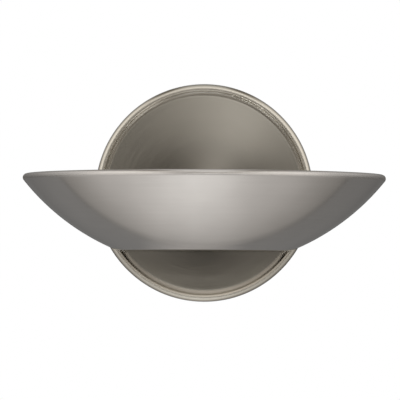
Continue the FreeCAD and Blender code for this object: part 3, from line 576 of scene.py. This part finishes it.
def plate_line(inset):
    """Pan profile (distance from the axis, y), moved inwards by inset, from the wall to the axis."""
    corner = np.array([PLATE_R - BEAD_CORNER, -PLATE_DEPTH + BEAD_CORNER])
    crest = np.array([corner[0], -PLATE_DEPTH + BEAD_INNER])
    fall = BEAD_INNER + BEAD_FOOT
    face = FACE_RECESS - PLATE_DEPTH
    foot = np.array([crest[0] - math.sqrt(fall**2 - (fall - FACE_RECESS) ** 2), face - BEAD_FOOT])
    slope = math.degrees(math.atan2(foot[1] - crest[1], foot[0] - crest[0]))
    return joined(
        run((PLATE_R - inset, 0), (PLATE_R - inset, corner[1]), 8),
        arc(corner, BEAD_CORNER - inset, 0, -90, 16),
        arc(crest, BEAD_INNER - inset, -90, slope, 12),
        arc(foot, BEAD_FOOT + inset, slope + 180, 90, 16),
        run((foot[0], face + inset), (0, face + inset), 60),
    )


def drilled(made, depth, holes):
    """Cuts round holes along Y right through, each (x, z, radius) and again at -x."""
    drills = []
    for x, z, radius in holes:
        outline = (0.0, 0.0), (radius, 0.0), (radius, depth), (0.0, depth)
        for side in (-1, 1):
            drills.append(round_part((side * x, -depth, z), (0, 1, 0), 48, *outline))
    drill = piece("drill", *together(drills))
    cut = made.modifiers.new("holes", "BOOLEAN")
    cut.operation, cut.solver, cut.object = "DIFFERENCE", "EXACT", drill
    mesh = bpy.data.meshes.new_from_object(made.evaluated_get(bpy.context.evaluated_depsgraph_get()))
    made.modifiers.clear()
    made.data = mesh
    mesh.shade_smooth()
    mesh.set_sharp_from_angle(angle=math.radians(SHARP))
    bpy.data.objects.remove(drill)
    return made


def make_plate():
    """Full turn of the pan's profile about Y: (x, z) = radius * (cos a, sin a), then its holes."""
    loop = np.concatenate([plate_line(0), plate_line(PLATE_SHEET)[::-1]])
    a = angles(240)[:, None]
    x = loop[None, :, 0] * np.cos(a)
    z = loop[None, :, 0] * np.sin(a)
    y = np.broadcast_to(loop[None, :, 1], x.shape)
    faces = grid_faces(a.shape[0], loop.shape[0], wrap_rows=True, wrap_columns=True)
    return drilled(piece("back_plate", np.stack([x, y, z], -1), faces), PLATE_DEPTH * 1.5, PLATE_HOLES)


# ---------------------------------------------------------------- screws, nuts and studs
# Shares of the thread's diameter, but for those that name something else.
HEAD_RADIUS, HEAD_HEIGHT = 0.95, 0.62
HEAD_CROWN = 0.5            # of the head's height, as the next three are
SOCKET_FLOOR = 0.35
SOCKET_EDGE = 0.95
HEAD_EDGE = 0.04
SOCKET_FLAT = 0.3           # half the width of the socket over its flats
SOCKET_MOUTH = 1.12         # of the socket's width
NECK_RADIUS, NECK_LENGTH = 0.43, 0.05
TIP_RADIUS, TIP_LENGTH = 0.36, 0.12
PITCH = 0.172
THREAD_DEPTH = 0.6          # of the pitch
THREAD_CREST = 0.99         # of half the thread
NUT_HEIGHT, NUT_CORNER = 0.8, 1.01
NUT_BORE, BORE_CHAMFER = 0.5, 0.08
BORE_MOUTH = 1.12           # of the bore
NUT_FACE = 0.97             # radius of the nut's ring-shaped face, of half its width over flats
SPARE_THREAD = 0.8 * MM     # thread that stands past a nut
THREAD_ROWS = 7             # rows of points to a turn of thread


def thread_block(thread, start, end, columns):
    """Radius = crest - depth * |2 * frac(height / pitch - a / turn) - 1| over heights from start to end."""
    pitch = PITCH * thread
    height = np.linspace(start, end, max(3, round(THREAD_ROWS * (end - start) / pitch)))[:, None]
    wave = np.abs(2 * np.mod(height / pitch - angles(columns) / TURN, 1.0) - 1)
    return THREAD_CREST * thread / 2 - THREAD_DEPTH * pitch * wave, height


def screw(seat, direction, thread, length, columns=48):
    """Button-head screw: rings of (radius, height) about its direction, with hexagon() as its socket."""
    socket = hexagon(SOCKET_FLAT * thread, columns)
    head_r, head_h = HEAD_RADIUS * thread, HEAD_HEIGHT * thread
    floor, crown, edge = SOCKET_FLOOR * head_h, HEAD_CROWN * head_h, HEAD_EDGE * head_h
    bend = arc((head_r - crown, crown - head_h), crown, -90, 0, 8)
    return round_part(
        seat, direction, columns,
        (0.0, -floor), (socket, -floor), (socket, -SOCKET_EDGE * head_h), (socket * SOCKET_MOUTH, -head_h),
        (bend[:, :1], bend[:, 1:]), (head_r, -edge), (head_r - edge, 0.0), (NECK_RADIUS * thread, 0.0),
        thread_block(thread, NECK_LENGTH * thread, length - TIP_LENGTH * thread, columns),
        (TIP_RADIUS * thread, length), (0.0, length),
    )


def hex_nut(seat, direction, thread, columns=72):
    """Nut with hexagon() as its sides, corners cut by a cone at 30 degrees to its faces, and a bore."""
    flat = NUT_CORNER * thread * math.cos(SIXTH / 2)
    side = hexagon(flat, columns)
    top = NUT_HEIGHT * thread
    ring = NUT_FACE * flat
    cone = (side - ring) * math.tan(SIXTH / 2)
    bore, chamfer = NUT_BORE * thread, BORE_CHAMFER * thread
    mouth = BORE_MOUTH * bore
    return round_part(
        seat, direction, columns,
        (bore, chamfer), (mouth, 0.0), (ring, 0.0), (side, cone), (side, top - cone), (ring, top),
        (mouth, top), (bore, top - chamfer), wrap_rows=True,
    )


def screws_along_y(node, name):
    """The screws of a node whose heads are seated along Y, one or a pair, from the node's box."""
    low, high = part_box(node)
    thread = (high.z - low.z) / (2 * HEAD_RADIUS)
    seat = low.y + HEAD_HEIGHT * thread
    middles = {round(low.x + HEAD_RADIUS * thread, 6), round(high.x - HEAD_RADIUS * thread, 6)}
    z = (low.z + high.z) / 2
    made = [screw((x, seat, z), (0, 1, 0), thread, high.y - seat) for x in sorted(middles)]
    return piece(name, *together(made), FASTENER_SHARP)


def nuts_along_y(node, name):
    """The two nuts of a node along Y, corners up, from its box.

    The left one ends at the back of the box and the right one starts at its front, because the left
    nut of the shelf stands on the ring terminal."""
    low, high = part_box(node)
    thread = (high.z - low.z) / (2 * NUT_CORNER)
    reach = NUT_CORNER * thread * math.cos(SIXTH / 2)
    z = (low.z + high.z) / 2
    seats = ((low.x + reach, high.y - NUT_HEIGHT * thread, z), (high.x - reach, low.y, z))
    made = [hex_nut(seat, (0, 1, 0), thread) for seat in seats]
    return piece(name, *together(made), FASTENER_SHARP)


def make_holder_screws():
    """Screws through the frame's arms into the lampholders, heads outwards."""
    low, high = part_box("lampholder_screws")
    thread = (high.z - low.z) / (2 * HEAD_RADIUS)
    seat = high.x - HEAD_HEIGHT * thread
    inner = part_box("lampholder_right")[0].x
    length = seat - inner + NUT_HEIGHT * thread + SPARE_THREAD
    y, z = (low.y + high.y) / 2, (low.z + high.z) / 2
    pair = [screw((side * seat, y, z), (-side, 0, 0), thread, length) for side in (-1, 1)]
    return piece("holder_screws", *together(pair), FASTENER_SHARP)


def make_holder_nuts():
    """Nuts on the inner faces of the lampholders."""
    low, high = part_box("lampholder_nuts")
    thread = (high.z - low.z) / (2 * NUT_CORNER)
    y, z = (low.y + high.y) / 2, (low.z + high.z) / 2
    pair = [hex_nut((side * high.x, y, z), (-side, 0, 0), thread) for side in (-1, 1)]
    return piece("holder_nuts", *together(pair), FASTENER_SHARP)


def make_knurled_nuts():
    """Hand nuts with crossed grooves in the grip.

    Grip radius = R - depth * (1 - min(w(n a + h / p), w(n a - h / p))), with w(t) = |2 frac(t) - 1|."""
    low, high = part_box("bowl_nuts")
    grip = (high.y - low.y) / 2
    collar, step, chamfer, bore = 4.0 * MM, 1.6 * MM, 0.45 * MM, 2.05 * MM
    edge, groove = 0.15 * MM, 0.32 * MM
    sink, sink_floor = bore + 0.9 * MM, bore + 0.6 * MM     # shallow recess round the bore
    top = high.z - low.z
    teeth, columns = 34, 204
    tooth = TURN * grip / teeth
    height = np.linspace(step + chamfer, top - chamfer, 22)[:, None]
    turn_share = angles(columns) * teeth / TURN
    waves = [np.abs(2 * np.mod(turn_share + way * height / tooth, 1.0) - 1) for way in (-1, 1)]
    knurl = grip - groove * (1 - np.minimum(*waves))
    outline = (
        (bore, 0.0), (collar - edge, 0.0), (collar, edge), (collar, step), (grip - chamfer, step),
        (knurl, height), (grip - chamfer, top), (sink, top), (sink_floor, top - edge), (bore, top - edge),
    )
    pair = []
    for x in (low.x + grip, high.x - grip):
        seat = (x, (low.y + high.y) / 2, low.z)
        pair.append(round_part(seat, (0, 0, 1), columns, *outline, wrap_rows=True))
    return piece("knurled_nuts", *together(pair), FASTENER_SHARP)


def make_studs():
    """Threaded studs welded upright on the bowl's floor, plain at the foot and pointed at the top."""
    low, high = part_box("bowl_studs")
    radius = (high.y - low.y) / 2
    top = high.z - low.z
    columns = 48
    foot, thread_start, tip = 0.3 * MM, 0.8 * MM, 0.5 * MM
    outline = (
        (0.0, 0.0), (radius, 0.0), (radius, foot),
        thread_block(2 * radius, thread_start, top - tip, columns),
        (2 * TIP_RADIUS * radius, top), (0.0, top),
    )
    pair = []
    for x in (low.x + radius, high.x - radius):
        pair.append(round_part((x, (low.y + high.y) / 2, low.z), (0, 0, 1), columns, *outline))
    return piece("studs", *together(pair), FASTENER_SHARP)


# ---------------------------------------------------------------- contact springs and the lamp's filament
SPRING_WIRE = 0.25 * MM     # radius
SPRING_TURNS = 4
SPRING_CLOSING = 0.35       # how much closer the turns lie at the two ends
SPRING_ROWS = 44            # rows of points to a turn


def make_spring(side):
    """Coil (x, r sin k, r cos k), x = length * (s - closing * sin(turn s) / turn), k = turns * turn * s.

    Its outer end lies at the lampholder and its inner end at the contact."""
    low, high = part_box("contact_spring_" + side)
    inner, outer = sorted((low.x, high.x), key=abs)
    away = math.copysign(1, outer)
    y, z = (low.y + high.y) / 2, (low.z + high.z) / 2
    radius = (high.z - low.z) / 2 - SPRING_WIRE
    s = np.linspace(0, 1, SPRING_ROWS * SPRING_TURNS)
    k = TURN * SPRING_TURNS * s
    length = abs(outer - inner) - 2 * SPRING_WIRE
    along = length * (s - SPRING_CLOSING * np.sin(TURN * s) / TURN)
    out = np.stack([0 * k, np.sin(k), np.cos(k)], 1)
    path = np.array([inner + away * SPRING_WIRE, y, z]) + away * along[:, None] * (1, 0, 0) + radius * out
    made = piece("coil_spring_" + side, *wire(path, out, SPRING_WIRE, 12))
    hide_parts("contact_spring_" + side)
    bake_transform(made)
    return made


COIL_PITCH = 0.52 * MM
COIL_WIRE = 0.11 * MM       # radius
COIL_REACH = 38.0 * MM      # end of the coil, from the lamp's middle
COIL_ROWS = 16              # rows of points to a turn
TAIL_WIRE = 0.35 * MM       # radius
TAIL_IN_COIL = 4.0 * MM


def make_filament():
    """Coil (t, r sin k, r cos k) with k = turn * t / pitch, wound round two straight tails."""
    low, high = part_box("lamp_filament")
    middle = np.array((low + high) / 2)
    radius = (high.z - low.z) / 2 - COIL_WIRE
    t = np.linspace(-COIL_REACH, COIL_REACH, round(2 * COIL_REACH / COIL_PITCH * COIL_ROWS))
    k = TURN * t / COIL_PITCH
    out = np.stack([0 * k, np.sin(k), np.cos(k)], 1)
    parts = [wire(middle + t[:, None] * (1, 0, 0) + radius * out, out, COIL_WIRE, 5)]
    for end in (-1, 1):
        path = middle + run((end * (COIL_REACH - TAIL_IN_COIL), 0, 0), (end * high.x, 0, 0), 6)
        parts.append(wire(path, np.array([[0.0, 0.0, 1.0]]), TAIL_WIRE, 12))
    return piece("filament", *together(parts))


# ---------------------------------------------------------------- studio
def ray_mask(finish, *kinds):
    """1 for rays of any of these kinds, and 0 for others."""
    mask, *others = (finish.node("LightPath", output=kind) for kind in kinds)
    for other in others:
        mask = mask.math("MAXIMUM", other)
    return mask


WARM_WHITE = (0.85, 0.83, 0.79, 1)


def table_below(finish, dx, dy, dz):
    """The table under the light, by where a line down to it lands: back towards the wall, side across.

    It is brightest in front, falls off to both sides, and past its edge the room is dim."""
    fall = (0.0 - dz).math("MAXIMUM", 0.05)
    back = dy / fall
    side = (dx / fall + 0.06).math("ABSOLUTE")
    lit = finish.curve(
        back, (-1.0, 1.05), (-0.25, 1.05), (-0.06, 0.97), (0.14, 0.875), (0.38, 0.70), (0.6, 0.575),
        (0.76, 0.505), (0.80, 0.40), (0.825, 0.20), (1.0, 0.20),
    )
    sideways = finish.curve(side, (0, 1), (0.18, 0.93), (0.35, 0.79), (0.5, 0.73), (0.7, 0.69), (0.9, 0.6))
    beyond = finish.curve(back, (0.86, 0.265), (1.5, 0.245), (2.1, 0.225), (3.4, 0.185))
    beyond = finish.between(finish.spread(side, 0.28, 0.04, 0.0, 1.0), beyond, (0.5, 0.49, 0.48, 1))
    table = finish.between(finish.spread(back, 0.825, 0.855, 0.0, 1.0), finish.times(lit, sideways), beyond)
    left_to_right = finish.curve(dx, (-1.0, 1.04), (-0.2, 1.0), (0.05, 0.99), (0.35, 0.91), (1.0, 0.84))
    return finish.times(table, left_to_right)


def lights_above(finish, room, dx, dy, dz):
    """Two soft boxes at the sides, a dim gap between them overhead, and a pale patch high in front."""
    across = dx.math("ABSOLUTE")
    towards_box = (0.63, -0.63, 0.457)
    soft_box = finish.vector_math("DOT_PRODUCT", finish.vector(across, dy, dz), towards_box, output=1)
    room = finish.between(finish.spread(soft_box, 0.76, 0.88, 0.0, 1.0), room, (1.25, 1.22, 1.18, 1))
    gap = finish.spread((across - 0.33).math("ABSOLUTE"), 0.16, 0.08, 0.0, 1.0)
    gap = gap * finish.spread(dz, 0.6, 0.75, 0.0, 1.0)
    room = finish.between(gap, room, (0.30, 0.28, 0.25, 1))
    ahead = finish.spread(dy, -0.5, -0.75, 0.0, 1.0) * finish.spread(dz, 0.1, 0.35, 0.0, 1.0)
    return finish.between(ahead * finish.spread(across, 0.45, 0.25, 0.0, 1.0), room, WARM_WHITE)


def fan_round_lens(finish, dx, dz):
    """Brightness round the lens by the angle from the right, in degrees, with the lens itself pale."""
    upward = dz - 0.025
    angle = upward.math("ARCTAN2", dx) * (180 / math.pi)
    from_lens = (dx * dx + upward * upward).math("SQRT")
    fan = finish.curve(
        angle, (-180, 0.12), (-140, 0.3), (-112, 0.16), (-90, 0.04), (-68, 0.17), (-45, 0.28), (-20, 0.1),
        (0, 0.12), (20, 0.24), (40, 0.86), (61, 1.6), (75, 1.4), (93, 1.04), (115, 0.46), (140, 0.17),
        (180, 0.12),
    )
    return finish.between(finish.spread(from_lens, 0.09, 0.03, 0.0, 1.0), fan, WARM_WHITE)


def only_reflected(made):
    """Hides a piece of the studio from everything but shiny surfaces."""
    made.visible_camera = made.visible_diffuse = made.visible_shadow = made.visible_transmission = False


def make_studio_dome():
    """Sphere round the object that only shiny surfaces see: a photographer's table, lights and dim room."""
    rows, columns, radius = 33, 64, 3.0
    polar = np.linspace(0, math.pi, rows)[:, None]
    a = angles(columns)[None, :]
    x, y = radius * np.sin(polar) * np.cos(a), radius * np.sin(polar) * np.sin(a)
    z = radius * np.cos(polar) * np.ones_like(a)
    dome = piece("studio_dome", np.stack([x, y, z], -1), grid_faces(rows, columns, wrap_columns=True))
    finish = Finish("studio_light")
    place = finish.place()
    towards = finish.vector_math("NORMALIZE", place)
    dx, dy, dz = (finish.part(towards, axis) for axis in range(3))
    above = finish.curve(dy, (-1.0, 0.95), (-0.5, 0.9), (0.0, 0.75), (0.36, 0.66), (0.7, 0.4), (1.0, 0.25))
    above = finish.times(above, finish.curve(dz, (0.0, 0.4), (0.3, 1.0)))
    below = table_below(finish, dx, dy, dz)
    room = finish.between(finish.spread(dz, -0.12, 0.02, 0.0, 1.0), below, above)
    room = lights_above(finish, room, dx, dy, dz)
    fan = fan_round_lens(finish, dx, dz)
    room = finish.between(finish.spread(dy, -0.914, -0.951, 0.0, 1.0), room, fan)
    finish.surface(finish.node("Emission", None, {0: room, 1: 1.0}))
    dome.data.materials.append(finish.material)
    only_reflected(dome)


def make_flag():
    """Grey card out of the picture, in front of the bowl's foot, that shades the plate: y = constant."""
    half_width, bottom, top, distance = 0.06, -0.035, 0.032, 0.4
    x, z = np.meshgrid(np.linspace(-half_width, half_width, 3), np.linspace(bottom, top, 3))
    flag = piece("flag_card", np.stack([x, 0 * x - distance, z], -1), grid_faces(3, 3))
    finish = Finish("grey_card")
    finish.surface(finish.node("Emission", None, {0: (0.27, 0.26, 0.24, 1), 1: 1.0}))
    flag.data.materials.append(finish.material)
    only_reflected(flag)


FLOOR_Z = -1.7
FLOOR_REACH = 9.0
FLOOR_GLOW = 0.7        # how far the floor is lifted to white for the camera


def make_floor():
    """Plain pale floor at the height that a wall light hangs over: z = constant over a square grid.

    It is clear from below, so that the light can be looked at from there."""
    reach = np.linspace(-FLOOR_REACH, FLOOR_REACH, 3)
    x, y = np.meshgrid(reach, reach)
    floor = piece("floor", np.stack([x, y, 0 * x + FLOOR_Z], -1), grid_faces(3, 3))
    if floor.data.polygons[0].normal.z < 0:
        floor.data.flip_normals()
    finish = Finish("pale_floor")
    seen = ray_mask(finish, "Is Camera Ray", "Is Transmission Ray")
    matt = finish.node("BsdfDiffuse", None, {"Color": (0.82, 0.82, 0.82, 1)})
    glow = finish.node("Emission", None, {0: (1, 1, 1, 1), 1: 1.0})
    lit = finish.node("MixShader", None, {0: seen * FLOOR_GLOW, 1: matt, 2: glow})
    under = finish.node("NewGeometry", output="Backfacing")
    clear = finish.node("BsdfTransparent")
    finish.surface(finish.node("MixShader", None, {0: under, 1: lit, 2: clear}))
    floor.data.materials.append(finish.material)
    floor.visible_glossy = False


def make_soft_lamp(name, place, power, size=1.8):
    """Large round lamp that faces the object. Metal shows the dome in its place."""
    light = bpy.data.lights.new(name, "AREA")
    light.shape, light.size, light.energy = "DISK", size, power
    lamp = bpy.data.objects.new(name, light)
    lamp.location = place
    lamp.rotation_euler = (-Vector(place)).to_track_quat("-Z", "Y").to_euler()
    lamp.visible_glossy = False
    bpy.context.scene.collection.objects.link(lamp)


def make_world():
    """White for the camera, polished metal and glass, and a soft even light for everything else."""
    even_light = 0.55
    world = bpy.data.worlds.new("studio_world")
    world.use_nodes = True
    finish = Finish("studio_world", world.node_tree)
    shown = ray_mask(finish, "Is Camera Ray", "Is Glossy Ray", "Is Transmission Ray")
    background = next(n for n in world.node_tree.nodes if n.type == "BACKGROUND")
    background.inputs[0].default_value = (1, 1, 1, 1)
    strength = finish.spread(shown, 0.0, 1.0, even_light, 1.0)
    finish.tree.links.new(strength.socket, background.inputs[1])
    bpy.context.scene.world = world


def make_camera():
    """Long lens in front of the wall, a little below the bowl and looking slightly up."""
    distance, height = 4.5, -0.115
    aim_x, aim_z = -3.45 * MM, -5.5 * MM
    picture_pixels, focal_pixels = 400, 5422.6
    roll = math.radians(0.25)
    data = bpy.data.cameras.new("camera")
    data.sensor_width = 36.0
    data.lens = focal_pixels / picture_pixels * data.sensor_width
    data.clip_start, data.clip_end = 0.1, 50.0
    camera = bpy.data.objects.new("camera", data)
    camera.location = (aim_x, -distance, height)
    pitch = math.atan2(aim_z - height, distance)
    level = Euler((math.radians(90) + pitch, 0, 0)).to_matrix()
    camera.rotation_euler = (level @ Euler((0, 0, roll)).to_matrix()).to_euler()
    bpy.context.scene.collection.objects.link(camera)
    bpy.context.scene.camera = camera


# ---------------------------------------------------------------- putting it together
def fit(made, finish, slot, body, *nodes):
    """Gives a piece its finish, puts it in the place of its nodes and lets it ride. Its record slot is not
    used.
    """
    made.data.materials.clear()
    made.data.materials.append(finish)
    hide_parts(*nodes)
    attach(made, body)


make_camera()
make_world()
make_studio_dome()
make_flag()
make_floor()
make_soft_lamp("key_lamp", (-1.6, -2.4, 2.2), power=42.0)
make_soft_lamp("fill_lamp", (2.0, -2.6, 0.8), power=20.0)

bowl_finish = turned_satin(
    "brushed_bowl", axis=(0, 0, 1), centre=(0, BOWL_Y, 0), colour=(0.62, 0.59, 0.56),
    lean=0.02, roughness=0.13, painted_light_by_radius=((0.0, 1.02), (BOWL_R, 1.02)), rim=(0.149, 0.1497, 2.0, 0.21),
)
# The plate is the same steel as the bowl, but its colour is darker, as painted shade. Its brightness by
# radius is painted light and shade: a painted highlight on the bead, up to twice as bright, and painted shade
# in the middle and at the outer edge.
plate_finish = turned_satin(
    "brushed_plate_painted_light", axis=(0, 1, 0), centre=(0, 0, 0), colour=(0.465, 0.44, 0.39),
    lean=0.1, roughness=0.19, painted_light_by_radius=(
        (0.0, 0.6), (0.025, 0.63), (0.04, 0.76), (0.05, 0.88), (0.065, 0.98), (0.079, 1.0), (0.0803, 1.12),
        (0.0816, 1.2), (0.0824, 1.35), (0.083, 1.5), (0.0837, 1.85), (0.0843, 2.05), (0.0848, 2.05),
        (0.0854, 1.8), (0.086, 1.6), (0.0872, 1.6), (0.0888, 0.85), (0.09, 0.75),
    ),
    rim=(0.0, PLATE_R, 1.0, 0.1),
)
zinc = bright_zinc()
BRASS, DULL_BRASS = (0.80, 0.60, 0.31, 1), (0.58, 0.41, 0.20, 1)
FINISHES = {
    "brushed_steel": bowl_finish,
    "zinc_sheet": rolled_zinc(),
    "zinc_screw": zinc,
    "turned_brass": turned("brass_along_x", BRASS, DULL_BRASS, 0, 0.26),
    "tinned_copper": tinned_copper(),
    "nickel_contact": turned("nickel_along_x", (0.72, 0.68, 0.61, 1), (0.55, 0.51, 0.45, 1), 0, 0.2),
    "spring_steel": drawn_wire(),
    "block_plastic": moulded("moulded_block", (0.80, 0.79, 0.75), 0.4, 0.55, 1800.0),
    "earth_sleeve": braided_sleeve("braided_earth", (0.06, 0.30, 0.10), (0.82, 0.66, 0.06)),
    "live_sleeve": braided_sleeve("braided_brown", (0.27, 0.12, 0.06)),
    "neutral_sleeve": braided_sleeve("braided_blue", (0.07, 0.20, 0.50)),
    "silicone": moulded("moulded_silicone", (0.62, 0.60, 0.56), 0.5, 0.7, 900.0),
    "polished_aluminium": stucco_aluminium(),
    "steatite": fired_steatite(),
    "quartz_glass": quartz(),
    "tungsten": tungsten_wire(),
}
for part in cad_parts.values():
    for place in part.material_slots:
        place.material = FINISHES[place.material.name]
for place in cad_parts["terminal_tubes"].material_slots:
    place.material = turned("brass_along_z", BRASS, DULL_BRASS, 2, 0.26)

fit(make_bowl(), bowl_finish, "brushed_steel", "root", "bowl_shade")
fit(make_plate(), plate_finish, "brushed_steel", "root", "backplate")
for node in ("plate_fixing_screws", "frame_screws", "shelf_screws", "terminal_block_screw", "earth_screw"):
    fit(screws_along_y(node, node + "_threaded"), zinc, "zinc_screw", "root", node)
for node in ("frame_nuts", "shelf_nuts"):
    fit(nuts_along_y(node, node + "_chamfered"), zinc, "zinc_screw", "root", node)
fit(make_holder_screws(), zinc, "zinc_screw", "root", "lampholder_screws")
fit(make_holder_nuts(), zinc, "zinc_screw", "root", "lampholder_nuts")
fit(make_studs(), zinc, "zinc_screw", "root", "bowl_studs")
fit(make_knurled_nuts(), FINISHES["turned_brass"], "turned_brass", "root", "bowl_nuts")
for side in ("left", "right"):
    make_spring(side).data.materials.append(FINISHES["spring_steel"])
fit(make_filament(), FINISHES["tungsten"], "tungsten", "lamp", "lamp_filament")

bpy.context.scene.view_settings.view_transform = "Standard"
